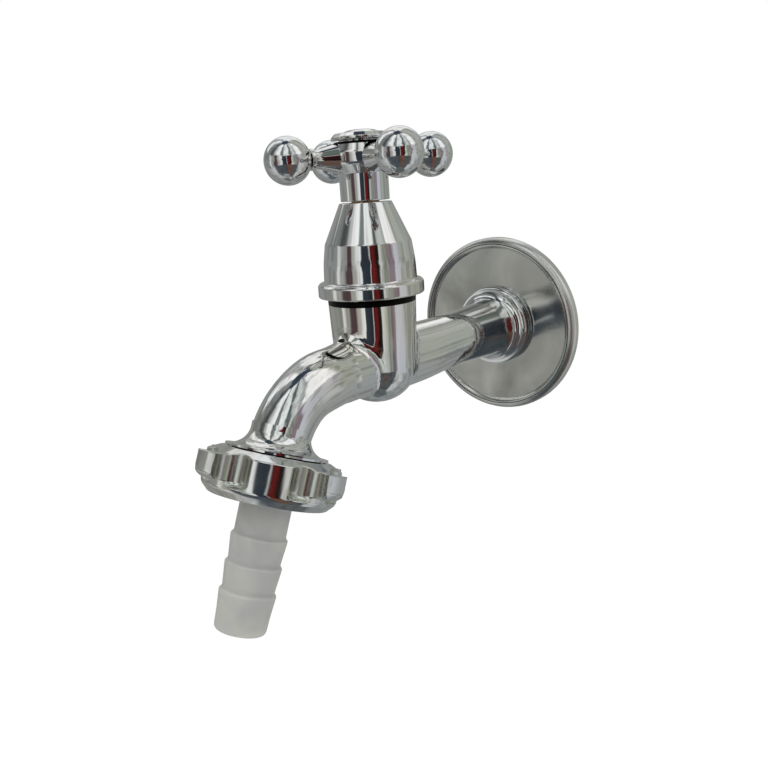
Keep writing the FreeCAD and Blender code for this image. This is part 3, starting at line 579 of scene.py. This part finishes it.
# Free-cutting brass as it comes off the lathe: warm yellow, fine tool rings, dull patches
# where fingers and flux have stained it.
brassSet = {
    "tones": [(0.40, "#B89650"), (0.70, "#7E6234")],
    "rough": (0.20, 0.45),
    "stain": {"size": 7.0, "detail": 4.0},
    "rings": {"spacing": 0.35, "detail": 2.0, "height": 0.010},
}


def turnedBrass(name, settings):
    material, tree = newMaterial(name)
    point = addNode(tree, "ShaderNodeTexCoord").outputs["Object"]
    stain = noiseNode(tree, point, settings["stain"])
    rings = settings["rings"]
    cuts = lineNode(tree, splitNode(tree, point)["Z"], rings["spacing"], rings["detail"])
    return closeMaterial(material, tree, {
        "Base Color": rampNode(tree, stain, settings["tones"]), "Metallic": 1.0,
        "Roughness": rangeNode(tree, stain, 0.0, 1.0, *settings["rough"]),
        "Normal": bumpNode(tree, cuts, rings["height"] * mm)})


# Small parts' finishes, each mottled at its own grain with the roughness that goes with it.
# Nitrile rubber is moulded, dull and faintly dusty; vulcanised fibre is pressed paper that
# shows short threads; pressed PTFE is waxy with a soft sheen; zinc plate has a thin blue
# passivate that turns warmer where it is worn.
smallSet = {
    "black_rubber": {
        "name": "moulded nitrile rubber", "dark": "#17181A", "light": "#26272A", "metal": 0.0,
        "rough": (0.50, 0.72), "stretch": (1, 1, 1), "grain": 0.35, "height": 0.010},
    "red_fibre": {
        "name": "vulcanised fibre", "dark": "#7A2E22", "light": "#95463A", "metal": 0.0,
        "rough": (0.62, 0.85), "stretch": (1, 4, 1), "grain": 1.6, "height": 0.020},
    "white_packing": {
        "name": "pressed PTFE", "dark": "#E2E3DE", "light": "#EDEEEA", "metal": 0.0,
        "rough": (0.32, 0.50), "stretch": (1, 1, 1), "grain": 0.8, "height": 0.008},
    "zinc_plated_steel": {
        "name": "zinc plated steel", "dark": "#B9C0C8", "light": "#CDCBC2", "metal": 1.0,
        "rough": (0.22, 0.40), "stretch": (1, 1, 1), "grain": 1.2, "height": 0.006},
}
mottleSet = {"detail": 4.0, "evenness": 0.6, "from": 0.3, "to": 0.7, "dark": 0.38, "light": 0.64}


def smallFinish(settings):
    material, tree = newMaterial(settings["name"])
    point = addNode(tree, "ShaderNodeTexCoord").outputs["Object"]
    drawn = addNode(tree, "ShaderNodeMapping", {
        "Vector": point, "Scale": settings["stretch"]}).outputs["Vector"]
    mottle = noiseNode(tree, drawn, {**mottleSet, "size": settings["grain"]})
    tones = [(mottleSet[name], settings[name]) for name in ("dark", "light")]
    return closeMaterial(material, tree, {
        "Base Color": rampNode(tree, mottle, tones), "Metallic": settings["metal"],
        "Roughness": rangeNode(tree, mottle, mottleSet["from"], mottleSet["to"], *settings["rough"]),
        "Normal": bumpNode(tree, mottle, settings["height"] * mm)})


finishes = {
    "plated_cast_brass": chromePlate("chrome plate on cast brass", plateSet["cast"]),
    "plated_turned_brass": chromePlate("chrome plate on turned brass", plateSet["turned"]),
    "plated_forged_nut": chromePlate("chrome plate on forged brass", plateSet["forged"]),
    "plated_cap": chromePlate("chrome plate on pressed brass", plateSet["pressed"]),
    "polished_stainless": polishedSheet("wheel polished stainless sheet", sheetSet),
    "milky_plastic": milkyPlastic("moulded natural polypropylene", milkySet),
    "turned_brass": turnedBrass("turned brass", brassSet),
}
for slotName, settings in smallSet.items():
    finishes[slotName] = smallFinish(settings)

for part in frame["record"]["subparts"]:
    node = nodes[part["node"]]
    node.data.materials.clear()
    node.data.materials.append(finishes[part["material_slot"]])
print("materials made and put on", len(nodes), "nodes")


# Modelling helpers. A piece is built upright at the origin and laid in place last. Sizes
# are in mm. A ring's points lie within this distance of its stated radius and height, and
# points closer than the weld are joined.
ringSet = {"within": 0.01, "weld": 0.002}


def makeActive(piece):
    bpy.ops.object.select_all(action="DESELECT")
    piece.select_set(True)
    bpy.context.view_layer.objects.active = piece


def turnPiece(name, outline, sides):
    # a ring is extruded and resized along the outline's (radius, height) points;
    # an outline that ends where it starts makes a hollow piece, any other is capped
    hollow = outline[0] == outline[-1]
    bpy.ops.object.select_all(action="DESELECT")
    bpy.ops.mesh.primitive_circle_add(
        vertices=sides, radius=outline[0][0] * mm, location=(0, 0, outline[0][1] * mm))
    piece = bpy.context.object
    piece.name = name
    bpy.ops.object.transform_apply(location=True, rotation=True, scale=True)
    bpy.ops.object.mode_set(mode="EDIT")
    bpy.ops.mesh.select_mode(type="EDGE")
    bpy.ops.mesh.select_all(action="SELECT")
    if not hollow:
        bpy.ops.mesh.edge_face_add()
    for before, after in zip(outline, outline[1:]):
        bpy.ops.mesh.extrude_region_move()
        bpy.ops.transform.translate(value=(0, 0, (after[1] - before[1]) * mm))
        share = after[0] / before[0]
        bpy.ops.transform.resize(value=(share, share, 1), center_override=(0, 0, after[1] * mm))
    bpy.ops.mesh.select_all(action="SELECT")
    bpy.ops.mesh.remove_doubles(threshold=ringSet["weld"] * mm)
    bpy.ops.mesh.normals_make_consistent(inside=False)
    bpy.ops.object.mode_set(mode="OBJECT")
    return piece


def softenRing(piece, radius, height, width, steps):
    # rounds the ring of edges at this radius and height
    makeActive(piece)
    bpy.ops.object.mode_set(mode="EDIT")
    bpy.ops.mesh.select_mode(type="EDGE")
    bpy.ops.mesh.select_all(action="DESELECT")
    mesh = bmesh.from_edit_mesh(piece.data)
    for edge in mesh.edges:
        ends = [v.co / mm for v in edge.verts]
        off = [abs(math.hypot(p.x, p.y) - radius) for p in ends] + [abs(p.z - height) for p in ends]
        if max(off) < ringSet["within"]:
            edge.select_set(True)
    bmesh.update_edit_mesh(piece.data)
    bpy.ops.mesh.bevel(offset=width * mm, segments=steps, profile=0.5, affect="EDGES")
    bpy.ops.object.mode_set(mode="OBJECT")


def carve(piece, tool, operation):
    # joins a tool to a piece or cuts it out of the piece, and removes the tool
    makeActive(piece)
    change = piece.modifiers.new("carve", "BOOLEAN")
    change.operation = operation
    change.solver = "EXACT"
    change.object = tool
    bpy.ops.object.modifier_apply(modifier="carve")
    bpy.data.objects.remove(tool, do_unlink=True)


def copyTurned(tool, angle):
    again = tool.copy()
    again.data = tool.data.copy()
    bpy.context.scene.collection.objects.link(again)
    again.data.transform(Matrix.Rotation(math.radians(angle), 4, "Z"))
    return again


def layAtOutlet(piece):
    makeActive(piece)
    tilt = Matrix.Rotation(math.radians(-outletSet["tilt"]), 4, "X")
    piece.matrix_world = Matrix.Translation(Vector(outletSet["origin"]) * mm) @ tilt
    bpy.ops.object.transform_apply(location=True, rotation=True, scale=True)


def makeLug(settings, sides):
    # a rounded disc, cut down to one block as wide as the lug
    reach, top, bottom = settings["reach"], settings["top"], settings["bottom"]
    lug = turnPiece("lug", [(reach, top), (reach, bottom)], sides)
    softenRing(lug, reach, bottom, *settings["round"])
    bpy.ops.object.mode_set(mode="EDIT")
    half = settings["width"] / 2 * mm
    for place, away in [
            ((0, half, 0), (0, 1, 0)),
            ((0, -half, 0), (0, -1, 0)),
            ((settings["root"] * mm, 0, 0), (-1, 0, 0))]:
        bpy.ops.mesh.select_all(action="SELECT")
        bpy.ops.mesh.bisect(plane_co=place, plane_no=away, use_fill=True, clear_outer=True)
    bpy.ops.mesh.select_all(action="SELECT")
    bpy.ops.mesh.normals_make_consistent(inside=False)
    bpy.ops.object.mode_set(mode="OBJECT")
    return lug


def makeBore(settings):
    # thread grooves as rings, cut outwards from the bore
    thread, top, endWall = settings["thread"], settings["top"], settings["endWall"]
    bore, pitch, flat = thread["bore"], thread["pitch"], thread["flat"]
    mouth = bore + thread["mouth"]
    outline = [(mouth, top + settings["overcut"]), (mouth, top), (bore, top - thread["mouth"])]
    height = top - thread["start"]
    while height - pitch > endWall + thread["spare"]:
        outline += [
            (bore, height - flat),
            (bore + thread["depth"], height - pitch / 2),
            (bore, height - pitch + flat),
        ]
        height -= pitch
    outline.append((bore, endWall))
    return turnPiece("bore", outline, settings["sides"])


def makeBlank(settings):
    radius, top, bottom = settings["radius"], settings["top"], settings["bottom"]
    bevelIn, bevelDown = settings["bevel"]
    chamferIn, chamferUp = settings["chamfer"]
    nut = turnPiece("unionNut", [
        (radius - bevelIn, top),
        (radius, top - bevelDown),
        (radius, bottom + chamferUp),
        (radius - chamferIn, bottom),
    ], settings["sides"])
    softenRing(nut, radius, bottom + chamferUp, *settings["shoulder"])
    lug = makeLug(settings["lug"], settings["sides"])
    for quarter in range(1, 4):
        carve(nut, copyTurned(lug, 90 * quarter), "UNION")
    carve(nut, lug, "UNION")
    return nut


def cutGrooves(nut, settings):
    groove = turnPiece("groove", [
        (settings["radius"], settings["top"]),
        (settings["radius"], settings["bottom"]),
    ], settings["sides"])
    softenRing(groove, settings["radius"], settings["bottom"], *settings["round"])
    groove.data.transform(Matrix.Translation((settings["reach"] * mm, 0, 0)))
    for quarter in range(4):
        for side in (-1, 1):
            carve(nut, copyTurned(groove, 90 * quarter + side * settings["angle"]), "DIFFERENCE")
    bpy.data.objects.remove(groove, do_unlink=True)


def cutInside(nut, settings):
    hole, overcut = settings["hole"], settings["overcut"]
    carve(nut, makeBore(settings), "DIFFERENCE")
    carve(nut, turnPiece("hole", [
        (hole["radius"], settings["endWall"] + overcut),
        (hole["radius"], settings["bottom"] - overcut),
    ], hole["sides"]), "DIFFERENCE")


def roundEdges(nut, settings):
    # forging and plating leave no sharp edge
    edge = settings["edge"]
    makeActive(nut)
    bpy.ops.object.mode_set(mode="EDIT")
    bpy.ops.mesh.select_all(action="SELECT")
    bpy.ops.mesh.remove_doubles(threshold=settings["weld"] * mm)
    bpy.ops.mesh.dissolve_limited(angle_limit=math.radians(settings["level"]))
    bpy.ops.mesh.normals_make_consistent(inside=False)
    bpy.ops.object.mode_set(mode="OBJECT")
    soften = nut.modifiers.new("soften", "BEVEL")
    soften.width = edge["width"] * mm
    soften.segments = edge["steps"]
    soften.limit_method = "ANGLE"
    soften.angle_limit = math.radians(edge["sharper"])
    soften.use_clamp_overlap = False
    bpy.ops.object.modifier_apply(modifier="soften")
    bpy.ops.object.shade_smooth_by_angle(angle=math.radians(settings["smooth"]))
    even = nut.modifiers.new("even", "WEIGHTED_NORMAL")
    even.keep_sharp = True
    bpy.ops.object.modifier_apply(modifier="even")


def makeNut(settings):
    nut = makeBlank(settings)
    cutGrooves(nut, settings["groove"])
    cutInside(nut, settings)
    roundEdges(nut, settings)
    layAtOutlet(nut)
    nut.data.materials.append(finishes["plated_forged_nut"])
    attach(nut, "coupling_nut")
    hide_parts("union_nut")


makeNut(nutSet)
print("union nut made")

# Hose tail, moulded: washer face, plain shank, three ridges that grip the hose, rounded tip.
# The bore runs through from the face to the tip.
tailSet = {
    "sides": 128,
    "bore": 5.0,
    "face": {"radius": 12.9, "top": -7.80, "bottom": -9.88, "round": (0.3, 5)},
    "shank": {"radius": 6.95, "round": (0.6, 5)},
    "ridges": {"count": 3, "first": -21.0, "pitch": 7.3},
    "crest": {"radius": 7.58, "land": 0.7, "taper": 0.05, "round": (0.22, 3)},
    "root": {"radius": 6.9, "step": 0.55, "round": (0.45, 4)},
    "end": {"swell": 0.22, "below": 5.0},
    "tip": {"radius": 6.84, "height": -46.0, "round": (1.3, 5), "inside": (0.4, 5)},
    "smooth": 40.0,
}


def makeTail(settings):
    face, shank, crest, root, tip = (settings[k] for k in ("face", "shank", "crest", "root", "tip"))
    ridges, bore = settings["ridges"], settings["bore"]
    crests = [ridges["first"] - k * ridges["pitch"] for k in range(ridges["count"])]
    outline = [
        (bore, face["top"]),
        (face["radius"], face["top"]),
        (face["radius"], face["bottom"]),
        (shank["radius"], face["bottom"]),
    ]
    for height in crests:
        outline += [
            (root["radius"], height + root["step"]),
            (crest["radius"], height),
            (crest["radius"] - crest["taper"], height - crest["land"]),
        ]
    outline += [
        (root["radius"] + settings["end"]["swell"], crests[-1] - settings["end"]["below"]),
        (tip["radius"], tip["height"]),
        (bore, tip["height"]),
        (bore, face["top"]),
    ]
    tail = turnPiece("hoseTail", outline, settings["sides"])
    for height in crests:
        softenRing(tail, crest["radius"], height, *crest["round"])
        softenRing(tail, root["radius"], height + root["step"], *root["round"])
    softenRing(tail, tip["radius"], tip["height"], *tip["round"])
    softenRing(tail, bore, tip["height"], *tip["inside"])
    softenRing(tail, face["radius"], face["bottom"], *face["round"])
    softenRing(tail, face["radius"], face["top"], *face["round"])
    softenRing(tail, shank["radius"], face["bottom"], *shank["round"])
    makeActive(tail)
    bpy.ops.object.shade_smooth_by_angle(angle=math.radians(settings["smooth"]))
    layAtOutlet(tail)
    tail.data.materials.append(finishes["milky_plastic"])
    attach(tail, "tail")
    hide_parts("hose_barb")


makeTail(tailSet)
print("hose tail made")
